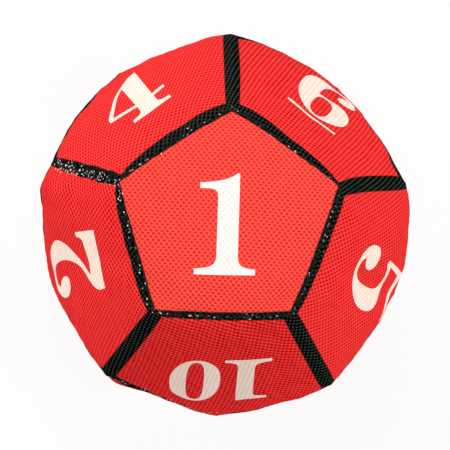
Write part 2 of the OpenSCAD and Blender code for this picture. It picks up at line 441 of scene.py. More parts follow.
def figure_outlines(number):
    """All outlines of a number, and its width."""
    digits = str(number)
    squeeze = NARROW if len(digits) > 1 else 1
    outlines, pen = [], 0
    for digit in digits:
        for outline in read_outline(OUTLINES[digit]):
            if digit == "9":
                outline = [[NINE_TURN - p for p in knot] for knot in outline]
            outlines.append([[Vector((pen + p.x * squeeze, p.y)) for p in knot]
                             for knot in outline])
        pen += ADVANCE[digit] * squeeze + FIGURE_GAP
    width = pen - FIGURE_GAP
    if number in (6, 9):
        outlines.append(bar(UNDERLINE_INSET, width - UNDERLINE_INSET, *UNDERLINE))
    return outlines, width


def draw_numeral(number, height, stretch):
    outlines, width = figure_outlines(number)
    curve = bpy.data.curves.new(f"numeral_{number}", "CURVE")
    curve.dimensions, curve.fill_mode, curve.resolution_u = "2D", "BOTH", CURVE_STEPS
    unit, middle = height / UNITS, Vector((width / 2, UNITS / 2))
    for outline in outlines:
        spline = curve.splines.new("BEZIER")
        spline.bezier_points.add(len(outline) - 1)
        spline.use_cyclic_u = True
        for knot, (before, point, after) in zip(spline.bezier_points, outline):
            knot.handle_left_type = knot.handle_right_type = "FREE"
            spots = {"co": point, "handle_left": before, "handle_right": after}
            for name, spot in spots.items():
                x, y = (spot - middle) * unit
                setattr(knot, name, (x * stretch, y, 0))
    piece = bpy.data.objects.new(curve.name, curve)
    bpy.context.collection.objects.link(piece)
    return piece


# %% [markdown]
# Print bends with the cloth, so a numeral needs points all over, not only around its
# outline. It becomes a mesh and is cut across and along every 1.3 mm. The print was not
# centred: each row gives a number's place on its face, its height in millimetres, how
# much the cloth has stretched it sideways, and how much it has pulled it askew.

# %% Twelve printed numerals
NUMERAL_GRID = 0.0013
NUMERAL_WELD = 2e-6
PLAIN_PRINT = (0, 6.0, 32.0, 1.0, 0)
PRINTS = {1: (-0.8, -1.1, 31.7, 1.02, 0.01), 12: (0, 0, 28.0, 1.0, 0),
          4: (-2.15, 3.95, 33.1, 0.91, 0.12), 6: (-0.35, 10.3, 31.2, 0.97, 0.105),
          5: (-0.9, 10.2, 38.2, 0.91, 0.13), 10: (-0.1, 2.9, 25.6, 1.13, 0.14),
          2: (0.75, 5.6, 37.2, 0.85, -0.165), 11: (0, 5.0, 28.0, 1.0, 0)}


def cut_grid(piece):
    edit("SELECT")
    reach = max(max(abs(v) for v in corner[:2]) for corner in piece.bound_box)
    lines = int(reach / NUMERAL_GRID)
    for axis in (0, 1):
        for i in range(-lines, lines + 1):
            place, way = [0, 0, 0], [0, 0, 0]
            place[axis], way[axis] = i * NUMERAL_GRID, 1
            bpy.ops.mesh.select_all(action="SELECT")
            bpy.ops.mesh.bisect(plane_co=place, plane_no=way)
    bpy.ops.mesh.select_all(action="SELECT")
    bpy.ops.mesh.remove_doubles(threshold=NUMERAL_WELD)
    done()


numerals = []
for face in faces:
    across, up, height, stretch, slope = PRINTS.get(face.number, PLAIN_PRINT)
    piece = only(draw_numeral(face.number, height / 1000, stretch))
    bpy.ops.object.convert(target="MESH")
    cut_grid(piece)
    co = positions(piece.data)
    co[:, 1] += slope * co[:, 0]
    co[:, :2] += [across / 1000, up / 1000]
    set_positions(piece.data, co)
    while piece.data.uv_layers:
        piece.data.uv_layers.remove(piece.data.uv_layers[0])
    flat_uv(piece, face)
    piece.matrix_world = face.place
    bpy.ops.object.transform_apply()
    hold = piece.modifiers.new("on_cloth", "SURFACE_DEFORM")
    hold.target = cover
    bpy.ops.object.surfacedeform_bind(modifier=hold.name)
    print(piece.name, len(piece.data.vertices), "points, bound:", hold.is_bound)
    numerals.append(piece)

# %% [markdown]
# ## Stuffing the cover
# Loose fibre presses evenly from inside. Cloth simulation with pressure and no gravity
# does just that: faces swell, edges bow and the corners are pulled in. The thread
# gathers the cloth a little along the sewn sides, so those shrink.

# %% Swell the cover
SWELL_FRAMES = 24
SWELL = {"quality": 8, "mass": 0.2, "tension_stiffness": 60, "compression_stiffness": 60,
         "shear_stiffness": 12, "bending_stiffness": 4, "tension_damping": 20,
         "compression_damping": 20, "shear_damping": 20, "bending_damping": 2,
         "air_damping": 6, "use_pressure": True, "uniform_pressure_force": 8.0,
         "vertex_group_shrink": "sewn", "shrink_min": 0.0, "shrink_max": 0.015}


def show_reach(what):
    reach = lengths(positions(cover.data) - [0, 0, MIDDLE]) * 1000
    print(f"{what} cover reaches {reach.min():.1f} to {reach.max():.1f} mm out")


seam_points = np.flatnonzero(side_reach(cover.data)[0] < TOUCH)
gathered = cover.vertex_groups.new(name="sewn")
gathered.add([int(i) for i in seam_points], 1.0, "REPLACE")
only(cover)
cloth = cover.modifiers.new("swell", "CLOTH")
for name, value in SWELL.items():
    setattr(cloth.settings, name, value)
cloth.settings.effector_weights.gravity = 0
cloth.collision_settings.use_collision = False
cloth.point_cache.frame_start = 1
cloth.point_cache.frame_end = SWELL_FRAMES
for step in range(1, SWELL_FRAMES + 1):
    scene.frame_set(step)
bpy.ops.object.modifier_apply(modifier=cloth.name)
scene.frame_set(1)
show_reach("swollen")

# %% [markdown]
# Real cloth also gives a little, most of all along its edges, so a stuffed die is rounder
# than pressure alone makes it. A share of a ball is mixed into the edges for that, less
# toward the middle of each face.

# %% Round the edges out
BALL_RADIUS = 0.0605
BALL_SHARE = 0.30
MIDDLE_FALL = 0.8


def round_out(co):
    spread = co - [0, 0, MIDDLE]
    reach = lengths(spread)
    inner = side_reach(cover.data, folds=True)[0] / APOTHEM
    share = BALL_SHARE * (1 - MIDDLE_FALL * inner)
    return spread * (1 - share + share * BALL_RADIUS / reach)[:, None] + [0, 0, MIDDLE]


set_positions(cover.data, round_out(positions(cover.data)))
show_reach("rounded")

# %% [markdown]
# No stuffed thing is even. Around its rim this die stands out in some places and is
# pressed in at others, some spots puff out beside a tight seam, and the lower ends of the
# folds have slid a little sideways. All this fades out toward the top and the bottom face.
# At one fold's end the lower cloth stands out past the upper one.
# The corners of the top face were not sewn quite where they were meant to be either.

# %% Uneven stuffing, in millimetres around the rim
RIM_PUSH = (0.9, -1.4, -1.6, -2.8, -0.2, 0.6, 0.4, -0.7, 1.3, -0.7,
            0.6, -1.5, 0.6, 1.4, 0.9, 0.4, 2.0, 0.9, 0.2, -1.4)
RIM_STEP = 18
RIM_PUFFS = {4: -0.25, 11: 0.65, 22: -0.25, 56: -0.35, 68: 0.1, 97: 0.4, 162: -0.4,
             170: 1.95, 204: 0.25, 243: -0.5, 266: 0.55, 288: -0.4, 300: 0.25, 334: 0.2,
             340: -0.5, 352: 0.1}
PUFF_WIDTH = 5
LOW_PUFF, LOW_PUFF_AROUND, LOW_PUFF_UP, LOW_PUFF_HEIGHT = 1.7, 238.5, 0.0025, 0.005
RIM_TOP, RIM_BOTTOM = (30, 78), (105, 150)
LEAST_RADIUS = 0.02
RIM_SLIDE = {18: -3.5, 90: 0.5, 162: 0.6, 234: -0.9, 306: -1.0}
CAP_SLIDE = {18: (0.1, 0.5), 90: (0.1, -1.1), 162: (-0.3, 0.15), 234: (-0.6, 0.35),
             306: (-0.65, 1.0)}
CAP_SLIDE_WIDTH = 0.012
CAP_SLIDE_HEIGHT = 0.03


def ease(values, start, end):
    t = np.clip((values - start) / (end - start), 0, 1)
    return t * t * (3 - 2 * t)


def bump_around(around, azimuth):
    gap = (around - azimuth + 180) % 360 - 180
    return np.exp(-(gap / PUFF_WIDTH) ** 2)


def uneven(co):
    spread = co - [0, 0, MIDDLE]
    around = np.degrees(np.arctan2(spread[:, 1], spread[:, 0]))
    out = np.hypot(spread[:, 0], spread[:, 1])
    down = np.degrees(np.arctan2(out, spread[:, 2]))
    share = ease(down, *RIM_TOP) * (1 - ease(down, *RIM_BOTTOM))
    push = np.interp(around, np.arange(0, 360, RIM_STEP), RIM_PUSH, period=360)
    for azimuth, puff in RIM_PUFFS.items():
        push += puff * bump_around(around, azimuth)
    level = np.exp(-((spread[:, 2] - LOW_PUFF_UP) / LOW_PUFF_HEIGHT) ** 2)
    low = bump_around(around, LOW_PUFF_AROUND) * level
    slide = np.interp(around, list(RIM_SLIDE), list(RIM_SLIDE.values()), period=360)
    turned = np.radians(around) + share * slide / 1000 / np.maximum(out, LEAST_RADIUS)
    out = out + (share * push + low * LOW_PUFF) / 1000
    return np.stack([out * np.cos(turned), out * np.sin(turned), co[:, 2]], axis=1)


def slide_cap_corners(co):
    upper = ease(co[:, 2] - MIDDLE, 0.0, CAP_SLIDE_HEIGHT)
    for azimuth, slide in CAP_SLIDE.items():
        way = radians(azimuth)
        corner = FACE_RADIUS * np.array([cos(way), sin(way)])
        gap = lengths(co[:, :2] - corner)
        near = upper * np.exp(-(gap / CAP_SLIDE_WIDTH) ** 2)
        co[:, :2] += near[:, None] * np.array(slide) / 1000
    return co


set_positions(cover.data, slide_cap_corners(uneven(positions(cover.data))))
print(f"rim pushed by {min(RIM_PUSH)} to {max(RIM_PUSH)} mm")

# %% [markdown]
# The print is held by the cloth, so the numerals take the cover's new shape with it.

# %% Let the numerals follow
for piece in numerals:
    only(piece)
    bpy.ops.object.modifier_apply(modifier="on_cloth")
print(len(numerals), "numerals swollen with the cover")

# %% [markdown]
# A soft thing settles where it lies. The lowest face is pressed flat on the table, a
# little more softly than a cut would do it.

# %% Finer cloth, settled on the table
REST_PRESS = 0.0012
REST_BLEND = 0.0004


def modify(piece, kind, **settings):
    """Gives a piece a modifier, sets it, and applies it."""
    only(piece)
    one = piece.modifiers.new(kind.lower(), kind)
    for name, value in settings.items():
        setattr(one, name, value)
    bpy.ops.object.modifier_apply(modifier=one.name)


def settle(height):
    """Heights pressed up to the table, with a soft edge."""
    return 0.5 * (height + np.sqrt(height ** 2 + REST_BLEND ** 2))


modify(cover, "SUBSURF", levels=1, render_levels=1, boundary_smooth="ALL")
co = positions(cover.data)
co[:, 2] -= co[:, 2].min() + REST_PRESS
print(f"top of the cover {co[:, 2].max() * 1000:.1f} mm up")
co[:, 2] = settle(co[:, 2])
set_positions(cover.data, co)

# %% [markdown]
# The thread draws each sewn seam in, so a valley runs along it. Its depth changes from
# stitch to stitch, which makes the small puckers beside a seam.

# %% Valleys along the seams
SEAM_DEPTH = 0.0008
SEAM_WIDTH = 0.0030
PUCKER_DEPTH = 0.00010
STITCH_PITCH = 0.0032
PRINT_ROOM = 0.00015
RIM_HEIGHT = 0.025
RIM_DEEPER = 1.2
CORNER_FADE = (0.35, 0.5), (1, 0.45)
PUCKER_AT, PUCKER_WIDTH = 0.0016, 0.0012

distance, along = side_reach(cover.data)
fall = np.clip(1 - distance / SEAM_WIDTH, 0, 1) ** 2
corner_fade = np.interp(np.abs(along) / EDGE, *CORNER_FADE)
at_rim = np.abs(positions(cover.data)[:, 2] - MIDDLE) < RIM_HEIGHT
fall *= corner_fade * np.where(at_rim, RIM_DEEPER, 1)
pucker = np.exp(-((distance - PUCKER_AT) / PUCKER_WIDTH) ** 2)
pucker *= np.cos(2 * np.pi * along / STITCH_PITCH)
pucker[at_rim] = 0
co = positions(cover.data)
depth = SEAM_DEPTH * fall + PUCKER_DEPTH * pucker
co -= read(cover.data.vertices, "normal", 3) * depth[:, None]
co[:, 2] = np.maximum(co[:, 2], PRINT_ROOM)
set_positions(cover.data, co)
print(f"{int((fall > 0).sum())} points drawn in along the seams")

# %% [markdown]
# Every sewn side becomes a line of points on the finished cover. The stitches are laid
# along these lines later, so they are read before the cover is taken apart.

# %% Lines of the seams
def side_line(mesh, number, side):
    point, numbers, place = corner_places(mesh)
    mine = numbers == number
    across, run = side_distance(place[mine], side)
    on_side = across < TOUCH
    order = np.argsort(run[on_side])
    return positions(mesh)[list(dict.fromkeys(point[mine][on_side][order]))]


SEAMS = {
    "top_panel": [(n, 0) for n in UPPER_NUMBERS],
    "upper_strip": [(2, 1)],
    "equator": [(n, side) for n in UPPER_NUMBERS for side in (2, 3) if (n, side) != (4, 3)],
    "gap_closing": [(4, 3)],
    "lower_strip": [(8, 1)],
    "bottom_panel": [(n, 0) for n in LOWER_NUMBERS],
}
seam_lines = {name: [side_line(cover.data, n, side) for n, side in sides]
              for name, sides in SEAMS.items()}
print({name: len(lines) for name, lines in seam_lines.items()})

# %% [markdown]
# ## Printed bands
# The cloth was printed before it was sewn, so a black band belongs to the cloth's own
# surface. Its width changes along a seam, because the sewing line wanders. Three numbers
# per point carry that to the material: how deep the point lies inside a black band, in
# millimetres, how many flecks show beside a seam, as pale lifted yarn and as painted
# glints, and the knot tone of its face.

# %% Widths of the black bands, in millimetres, flecks, and knot tone per face
FOLD_BAND = (2.7, 2.7, 2.7)
CAP_BAND = (1.5, 1.5, 1.5)
SEAM_BAND = (2.4, 2.6, 2.4)
RIM_BAND = (0.9, 0.6, 0.9)
BANDS = {
    (1, 0): (1.4, 1.9, 1.7), (1, 1): (1.5, 1.8, 1.5), (1, 2): (0.2, 0.7, 1.6),
    (1, 3): (1.5, 1.3, 1.0), (1, 4): (1.0, 0.7, 0.8),
    (2, 0): (2.4, 3.5, 1.3), (2, 1): (1.9, 1.7, 0.9), (2, 3): (0.6, 1.0, 3.2),
    (2, 4): (2.4, 2.5, 2.2), (10, 0): (1.7, 1.2, 1.5), (10, 1): (3.0, 3.1, 2.8),
    (10, 2): (4.8, 3.6, 0.6), (10, 4): (3.6, 3.6, 3.3), (5, 0): (2.3, 2.3, 1.7),
    (5, 1): (2.0, 1.8, 1.8), (5, 4): (2.3, 2.1, 3.1), (6, 0): (3.0, 3.3, 0.7),
    (6, 1): (2.0, 3.5, 2.5), (6, 2): (4.6, 3.8, -0.3), (6, 3): (-0.5, 2.2, 4.9),
    (6, 4): (2.1, 2.8, 2.4), (4, 0): (0.9, 3.9, 2.9), (4, 1): (2.2, 2.5, 2.6),
    (7, 2): (2.4, 2.0, 0.5), (2, 2): (0.2, -0.3, -0.5),
    (4, 2): (0.9, 0.2, -0.5), (4, 3): (1.6, 4.6, 3.2), (4, 4): (2.4, 2.8, 2.8),
}
# Per seam side: the share of flecks and how far they reach. The flecks are painted glints and
# pale lifted cotton.
FLECKS = {(4, 4): (0.34, 2.4), (2, 1): (0.34, 2.8), (2, 0): (0.24, 2.2),
          (10, 0): (0.12, 2.0), (2, 3): (0.3, 2.4), (10, 2): (0.44, 5.0)}
PLAIN_FLECK = (0.14, 1.6)
FLECK_FADE = (0.4, 0.5), (1, 0.4)
FLECK_REACH = 1.3
NO_BAND = -50.0
# Knot tone per face: above nought the yarn crossings stand up as light knots, below nought
# dark gaps show between them, in the relief and in painted light and shade.
KNOT_TONE = {1: -0.35, 12: -0.35, 2: -0.04, 10: 0.1, 5: -0.14, 6: -0.1, 4: -0.28}


def mark_points(mesh, name, values):
    mark = mesh.attributes.new(name, "FLOAT", "POINT")
    mark.data.foreach_set("value", np.asarray(values, np.float32))


def band_width(face, side, run):
    plain = CAP_BAND if face.step < 0 else SEAM_BAND if face.sewn[side] else FOLD_BAND
    if face.panel == "upper_strip" and side in (2, 3):
        plain = RIM_BAND
    start, middle, end = BANDS.get((face.number, side), plain)
    t = run / EDGE
    return middle + (end - start) * t + 2 * (start + end - 2 * middle) * t ** 2


def paint_bands(mesh):
    point, number, place = corner_places(mesh)
    inside = np.full(len(mesh.vertices), NO_BAND)
    fleck = np.zeros(len(mesh.vertices))
    knot_tone = np.zeros(len(mesh.vertices))
    for face in faces:
        mine = number == face.number
        knot_tone[point[mine]] = KNOT_TONE.get(face.number, 0)
        for side in range(5):
            across, run = side_distance(place[mine], side)
            across = across * 1000
            np.maximum.at(inside, point[mine], band_width(face, side, run) - across)
            if face.sewn[side]:
                share, width = FLECKS.get((face.number, side), PLAIN_FLECK)
                share = share * np.interp(np.abs(run) / EDGE, *FLECK_FADE)
                share *= np.clip(FLECK_REACH - across / width, 0, 1)
                np.maximum.at(fleck, point[mine], share)
    for name, values in (("band", inside), ("fleck", fleck), ("knot_tone", knot_tone)):
        mark_points(mesh, name, values)


# %% [markdown]
# ## Four pieces of cloth
# The cover comes apart into the pieces that a maker cuts. Around each one the border is
# turned in toward the middle of the die: that is the seam allowance, which lies hidden
# against its neighbour's. Then the cloth gets its thickness on the inside.

# %% Take the cover apart
ALLOWANCE = 0.006
BORDER_REACH = 1.2 * IN_RADIUS
CLOTH_THICKNESS = 0.0005
SHARP = radians(60)


def copy_of(piece, name):
    twin = piece.copy()
    twin.data = piece.data.copy()
    bpy.context.collection.objects.link(twin)
    twin.name = twin.data.name = name
    return twin


def part_of_cover(panel):
    numbers = [face.number for face in faces if face.panel == panel]
    piece = only(copy_of(cover, panel + "_cloth"))
    edit("DESELECT")
    bpy.ops.mesh.select_mode(type="FACE")
    done()
    other = ~np.isin(face_numbers(piece.data), numbers)
    piece.data.polygons.foreach_set("select", other)
    edit()
    bpy.ops.mesh.delete(type="FACE")
    done()
    return piece


def turn_in_border(piece):
    only(piece)
    edit("SELECT")
    bpy.ops.mesh.region_to_loop()
    bpy.ops.mesh.extrude_edges_move()
    inward = 1 - ALLOWANCE / BORDER_REACH
    bpy.ops.transform.resize(value=(inward,) * 3, center_override=(0, 0, MIDDLE))
    bpy.ops.mesh.select_mode(type="VERT")
    done()


def thicken(piece, thickness):
    modify(piece, "SOLIDIFY", thickness=thickness, offset=-1, use_even_offset=False)
    bpy.ops.object.shade_smooth_by_angle(angle=SHARP)


panels = {}
for panel in ("top_panel", "upper_strip", "lower_strip", "bottom_panel"):
    piece = part_of_cover(panel)
    paint_bands(piece.data)
    turn_in_border(piece)
    thicken(piece, CLOTH_THICKNESS)
    panels[panel] = piece
    print(panel, len(piece.data.polygons), "faces")

# %% [markdown]
# The print lies on the cloth. It followed the swelling through its hold on the cover.
# Now it is laid on the finished surface, a hair's breadth proud of it, and gets the
# thickness of a coat of ink.

# %% Lay the numerals on
INK_LIFT = 0.00007
INK_THICKNESS = 0.00004

for piece, face in zip(numerals, faces):
    mark_points(piece.data, "knot_tone", [KNOT_TONE.get(face.number, 0)] * len(piece.data.vertices))
    modify(piece, "SHRINKWRAP", target=cover, wrap_method="NEAREST_SURFACEPOINT",
           wrap_mode="ABOVE_SURFACE", offset=INK_LIFT)
    thicken(piece, INK_THICKNESS)
print(len(numerals), "numerals laid on")

# %% [markdown]
# ## Stitches
# In the valley of every seam the thread shows as a row of short stitches, one beside the
# other. One stitch is modelled as a round bar whose ends dive into the cloth, and it is
# copied along each seam. The gap that was left for stuffing was closed by hand, so its
# stitches are longer and less even.

# %% One stitch
STITCH_LENGTH = 0.0027
STITCH_WIDTH = 0.00068
STITCH_DIVE = 0.0005
STITCH_SIDES = 6
STITCH_CUTS = (-0.36, -0.15, 0.15, 0.36)
STITCH_TAPER = 0.45


def model_stitch():
    bpy.ops.mesh.primitive_cylinder_add(
        vertices=STITCH_SIDES, radius=STITCH_WIDTH / 2, depth=STITCH_LENGTH,
        end_fill_type="TRIFAN", rotation=(0, radians(90), 0))
    piece = bpy.context.object
    bpy.ops.object.transform_apply()
    edit("SELECT")
    for cut in STITCH_CUTS:
        bpy.ops.mesh.select_all(action="SELECT")
        bpy.ops.mesh.bisect(plane_co=(cut * STITCH_LENGTH, 0, 0), plane_no=(1, 0, 0))
    done()
    co = positions(piece.data)
    run = np.abs(co[:, 0]) / (STITCH_LENGTH / 2)
    co[:, 1:] *= (1 - STITCH_TAPER * run ** 3)[:, None]
    co[:, 2] -= STITCH_DIVE * run ** 2
    set_positions(piece.data, co)
    return piece


stitch = model_stitch()
print("one stitch:", len(stitch.data.polygons), "faces")

# %% [markdown]
# A seam line is a run of points. A stitch takes its place by distance along the line, its
# direction from the line, and its up from the middle of the die. A seeded generator gives
# each stitch a small lean, the same in every run.

# %% Rows of stitches
dice = np.random.default_rng(12)
STITCH_RISE = 0.00025
SUNK_RISE = {"equator": -0.0001, "gap_closing": -0.0001}
MACHINE_SEWN, HAND_SEWN = (1.0, 4.0), (1.25, 9.0)
STITCH_SPREAD = 0.9, 1.08


def walk(line, distance):
    """Point and direction on a line at a distance from its start."""
    steps = lengths(np.diff(line, axis=0))
    passed = np.concatenate([[0], np.cumsum(steps)])
    at = [np.interp(distance, passed, line[:, i]) for i in range(3)]
    k = min(np.searchsorted(passed, distance, side="right") - 1, len(steps) - 1)
    ahead, behind = line[min(k + 2, len(line) - 1)], line[max(k - 1, 0)]
    return Vector(at), Vector(ahead - behind).normalized()


def sew(name, lines, rise, stretch, wander):
    """A row of stitches. Wander is how far a stitch leans, in degrees."""
    copies = []
    for line in lines:
        length = lengths(np.diff(line, axis=0)).sum()
        count = round(length / (STITCH_PITCH * stretch))
        for i in range(count):
            at, way = walk(line, (i + 0.5) * length / count)
            up = (at - Vector((0, 0, MIDDLE))).normalized()
            side = up.cross(way).normalized()
            up = way.cross(side)
            turn = Matrix((way, side, up)).transposed().to_4x4()
            lean = Matrix.Rotation(radians(dice.normal(0, wander)), 4, "Z")
            size = Matrix.Diagonal((stretch * dice.uniform(*STITCH_SPREAD), 1, 1, 1))
            one = copy_of(stitch, "stitch")
            one.matrix_world = Matrix.Translation(at + up * rise) @ turn @ lean @ size
            copies.append(one)
    piece = join(copies, name)
    co = positions(piece.data)
    co[:, 2] = np.maximum(co[:, 2], 0)
    set_positions(piece.data, co)
    bpy.ops.object.shade_smooth()
    print(name, len(copies), "stitches")
    return piece


rows = {}
for seam, lines in seam_lines.items():
    manner = HAND_SEWN if seam == "gap_closing" else MACHINE_SEWN
    rise = SUNK_RISE.get(seam, STITCH_RISE)
    rows[seam + "_thread"] = sew(seam + "_stitches", lines, rise, *manner)
bpy.data.objects.remove(stitch)

# %% [markdown]
# ## Stuffing
# The fibre fills the cover. It is a little smaller all around, lumpy, and parted along
# the seams where the allowances stand into it. It is made from the cover itself, moved
# inward, so that it fits.

# %% Loose fibre
FIBRE_CLEARANCE = 0.0011
FIBRE_LUMPS = 0.0006
LONG_WAVE, SHORT_WAVE = (210, 1.3), (390, 0.4)
PART_DEPTH = 0.0078
PART_WIDTH = 0.0010, 0.0024
PART_BLEND = 0.002, 0.006


def waves(co, pace, start):
    return np.sin(co * pace + start).sum(axis=1)


def fill_with_fibre():
    piece = copy_of(cover, "stuffing_fibre")
    co, out = positions(piece.data), read(piece.data.vertices, "normal", 3)
    lumps = waves(co, *LONG_WAVE) + waves(co[:, ::-1], *SHORT_WAVE)
    depth = FIBRE_CLEARANCE + FIBRE_LUMPS * (lumps / 6 + 1) / 2
    depth += np.interp(distance, PART_WIDTH, (PART_DEPTH, 0))
    toward = [0, 0, MIDDLE] - co
    toward /= lengths(toward)[:, None]
    near = np.interp(distance, PART_BLEND, (1, 0))[:, None]
    way = near * toward - (1 - near) * out
    way /= lengths(way)[:, None]
    set_positions(piece.data, co + way * depth[:, None])
    only(piece)
    bpy.ops.object.shade_smooth()
    return piece


fibre = fill_with_fibre()
bpy.data.objects.remove(cover)
print("fibre:", len(fibre.data.polygons), "faces")

# %% [markdown]
# ## Finishes
# Shader maths reads better as sums than as boxes and lines. A wire is one socket of a
# material. Adding or multiplying wires lays down Math nodes, and every other node comes
# from one method that takes its type, its settings and what goes into its sockets.

# %% Wires and finishes
def laid(operation, swapped=False):
    """A method of a wire that lays down one Math node."""
    def method(*wires):
        values = wires[::-1] if swapped else wires
        return wires[0].finish.node("Math", {"operation": operation},
                                    dict(enumerate(values)))
    return method


class Wire:
    def __init__(self, finish, socket):
        self.finish, self.socket = finish, socket

    __add__, __radd__ = laid("ADD"), laid("ADD", True)
    __sub__, __rsub__ = laid("SUBTRACT"), laid("SUBTRACT", True)
    __mul__, __truediv__ = laid("MULTIPLY"), laid("DIVIDE")
    __lt__, larger = laid("LESS_THAN"), laid("MAXIMUM")
    cosine, floor = laid("COSINE"), laid("FLOOR")

    def step(self, low, high):
        """0 below low, 1 above high, and a smooth rise between."""
        return self.finish.node("MapRange", {"interpolation_type": "SMOOTHSTEP"},
                                {"Value": self, "From Min": low, "From Max": high})


class Finish:
    def __init__(self, name, **constants):
        self.material = bpy.data.materials.new(name)
        self.material.use_nodes = True
        self.tree = self.material.node_tree
        self.tree.nodes.clear()
        self.surface = self.tree.nodes.new("ShaderNodeOutputMaterial").inputs["Surface"]
        self.shader = self.tree.nodes.new("ShaderNodeBsdfPrincipled")
        self.tree.links.new(self.shader.outputs[0], self.surface)
        for socket, value in constants.items():
            self.shader.inputs[socket.replace("_", " ")].default_value = value

    def node(self, kind, settings=None, sockets=None, output=0):
        node = self.tree.nodes.new("ShaderNode" + kind)
        for name, value in (settings or {}).items():
            setattr(node, name, value)
        for key, value in (sockets or {}).items():
            place = node.inputs[key] if isinstance(key, int) else next(
                s for s in node.inputs if s.identifier == key)
            if isinstance(value, Wire):
                self.tree.links.new(value.socket, place)
            else:
                place.default_value = value
        if isinstance(output, str):
            return Wire(self, next(s for s in node.outputs if s.identifier == output))
        return Wire(self, node.outputs[output])

    def blend(self, amount, first, second):
        return self.node("Mix", {"data_type": "RGBA"},
                         {"Factor_Float": amount, "A_Color": first, "B_Color": second},
                         "Result_Color")

    def attribute(self, name):
        return self.node("Attribute", {"attribute_name": name}, None, "Fac")

    def noise(self, place, scale, dimensions="3D", output=0, **more):
        return self.node("TexNoise", {"noise_dimensions": dimensions},
                         {"Vector": place, "Scale": scale, **more}, output)

    def emboss(self, strength, distance, height):
        self.feed(Normal=self.node("Bump", None, {
            "Strength": strength, "Distance": distance, "Height": height}))

    def feed(self, **wires):
        for socket, wire in wires.items():
            self.tree.links.new(wire.socket, self.shader.inputs[socket.replace("_", " ")])


def paint(red, green, blue):
    """A colour as it is seen on a screen, turned into light."""
    screen = [v / 255 for v in (red, green, blue)]
    light = [v / 12.92 if v <= 0.04045 else ((v + 0.055) / 1.055) ** 2.4 for v in screen]
    return (*light, 1.0)


# %% [markdown]
# The cloth is a plain weave of coarse yarn. Where one yarn passes over the other it
# stands up, and the yarn beside it dips. Two slanting waves together give that chequer on
# the flat cut. It raises the cloth here. Below, it mixes each pair of colours, which
# paints light on the raised yarns and shade in the dips. Where one of them is stronger,
# the cloth shows slanting lines, as the strips do. A knot tone set per face adds light
# knots where yarns cross when it is above nought, and dark gaps between them when it is
# below, both to the relief and to that painted light and shade. A slow drift keeps it all
# from looking ruled.

# %% Weave
YARN_PITCH = (0.00087, 0.00102)
CAP_GRAIN = radians(-2.5)
STRIP_GRAIN = radians(67.5)
CAP_LINES = 0.5, 0.5, 1.0
STRIP_LINES = 0.55, 1.0, 1.0
DRIFT_SCALE = 40.0
STREAK_SCALE = 0.45, 0.12
CHEQUER_RISE, STREAK_RISE = 0.6, 0.5
WEAVE_STRENGTH = 0.55


def yarn_noise(finish, warp, weft, scale):
    """Streaks that run along the yarns."""
    place = finish.node("CombineXYZ", None,
                        {"X": warp * scale[0], "Y": weft * scale[1]})
    return finish.noise(place, 1.0, "2D", Detail=2.0)


def weave(finish, grain, lines, depth):
    """Raises the weave and gives its chequer from about -1 to 1, streaks along the yarns,
    and the count of yarns both ways. Lines holds the share of slanting lines that lean
    one way, and how much each of the two yarns answers to the knot tone."""
    cloth = finish.node("UVMap", {"uv_map": "cloth"})
    drift = finish.noise(cloth, DRIFT_SCALE, "2D", "Color", Detail=1.0)
    bend, lean = (finish.node("SeparateColor", None, {"Color": drift}, part)
                  for part in ("Red", "Green"))
    u, v = (finish.node("SeparateXYZ", None, {"Vector": cloth}, axis)
            for axis in "XY")
    c, s = cos(grain), sin(grain)
    warp = (u * c + v * s) / YARN_PITCH[0] + bend
    weft = (v * c - u * s) / YARN_PITCH[1] + lean
    twill, warp_rows, weft_rows = lines
    rows = (warp * tau).cosine() * warp_rows + (weft * tau).cosine() * weft_rows
    chequer = (((warp + weft) * pi).cosine() * twill
               + ((warp - weft) * pi).cosine() * (1 - twill)
               + rows * finish.attribute("knot_tone"))
    streaks = yarn_noise(finish, warp, weft, STREAK_SCALE)
    height = chequer * CHEQUER_RISE + streaks * STREAK_RISE
    finish.emboss(WEAVE_STRENGTH, depth, height)
    return chequer, streaks, warp, weft


# %% [markdown]
# The cover's cloth is red all over, and the black bands are printed into it. A black band
# gets painted sheen, grey lines along its raised yarns, and beside a seam it gets painted
# glints in small grey flecks. There the needle also lifts single yarns, and unprinted pale
# cotton shows in flecks.

# %% Red cloth with black bands
# The panels' reds are paler and more orange than the strips' reds of the same cloth. That is
# painted sheen of the top face, which faces the lamps.
CAP_REDS_WITH_SHEEN = paint(234, 34, 32), paint(249, 86, 76)
STRIP_REDS = paint(206, 3, 11), paint(246, 65, 64)
INK_DARK = paint(1, 5, 2)
# The grey of the painted sheen and the painted glints on the black print.
INK_SHEEN = paint(72, 80, 74)
COTTON = paint(250, 244, 234)
STREAK_TONE = 0.6
RED_SHIFT, RED_RISE = 0.2, (-0.4, 0.3)
FLECKS_PER_YARN = 2.2
SHEEN_RISE, LIFTED_RISE = (0.05, 0.75), (0.0, 0.4)
GLINT_SHARE, LIFTED_SHADE = 0.2, 0.9
RAGGED_SCALE, RAGGED_REACH = (0.3, 0.3), 9
INK_EDGE = 0.13
CLOTH_DEPTH = 0.00026


